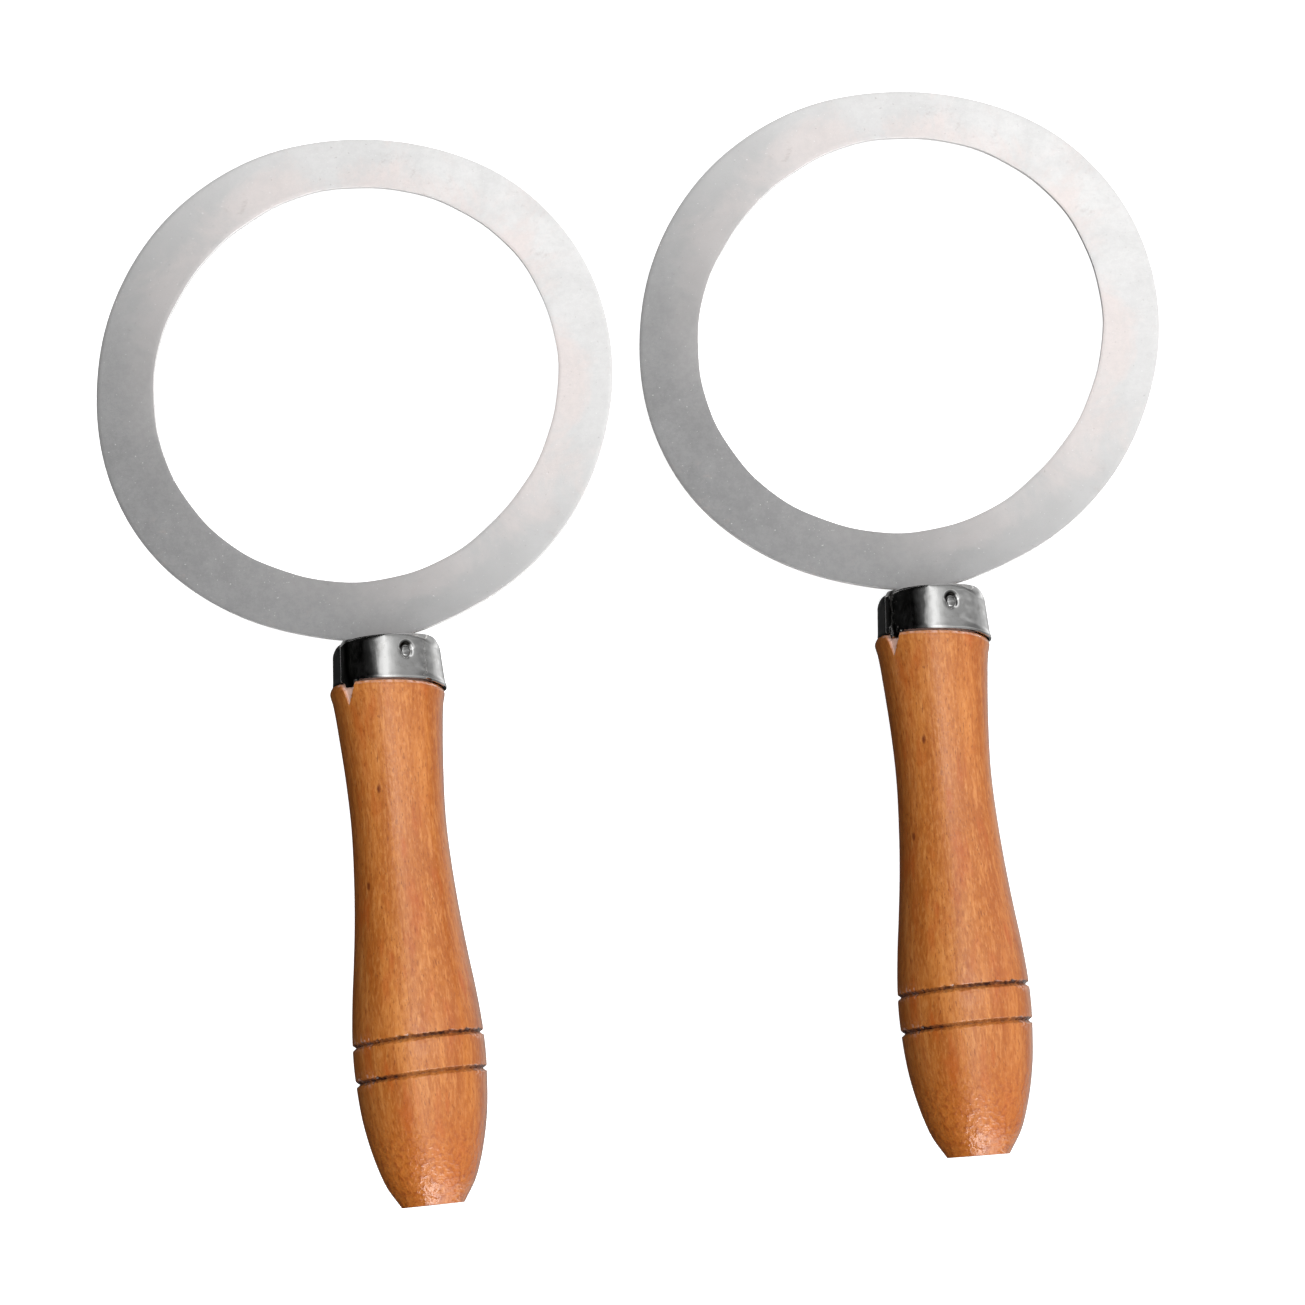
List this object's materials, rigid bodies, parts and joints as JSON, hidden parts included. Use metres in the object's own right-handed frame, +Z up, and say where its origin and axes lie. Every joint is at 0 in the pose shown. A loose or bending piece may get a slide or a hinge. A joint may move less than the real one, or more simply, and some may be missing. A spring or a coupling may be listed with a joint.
{
  "type": "hand cymbals",
  "caption": "Pair of ring-shaped hand cymbals: flat sheet-metal rings on turned wooden handles with nailed metal ferrules, laid side by side.",
  "frame": {"origin": "on the surface that the pair lies on, under the middle of the pair's bounding box", "axes": "+Z up, +Y along the handles towards the rings, +X to the right, from the left cymbal to the right one"},
  "size_m": [0.2334, 0.2344, 0.034],
  "materials": {
    "ring_steel": "dull zinc-coated steel sheet, flat grey with faint blotches",
    "handle_wood": "orange-brown varnished turned wood with fine dark pores",
    "ferrule_metal": "bright plated thin sheet, rolled and lapped",
    "nail_steel": "bright steel nail with a low domed head"
  },
  "bodies": {
    "left_cymbal": {"left_ring": "ring_steel", "left_handle": "handle_wood", "left_ferrule": "ferrule_metal", "left_nail": "nail_steel"},
    "right_cymbal": {"right_ring": "ring_steel", "right_handle": "handle_wood", "right_ferrule": "ferrule_metal", "right_nail": "nail_steel"}
  },
  "joints": [
    {"name": "right_cymbal_lift", "type": "slide", "parent": "left_cymbal", "child": "right_cymbal", "axis": [0, 0, 1], "range_m": [0, 0.15]}
  ]
}
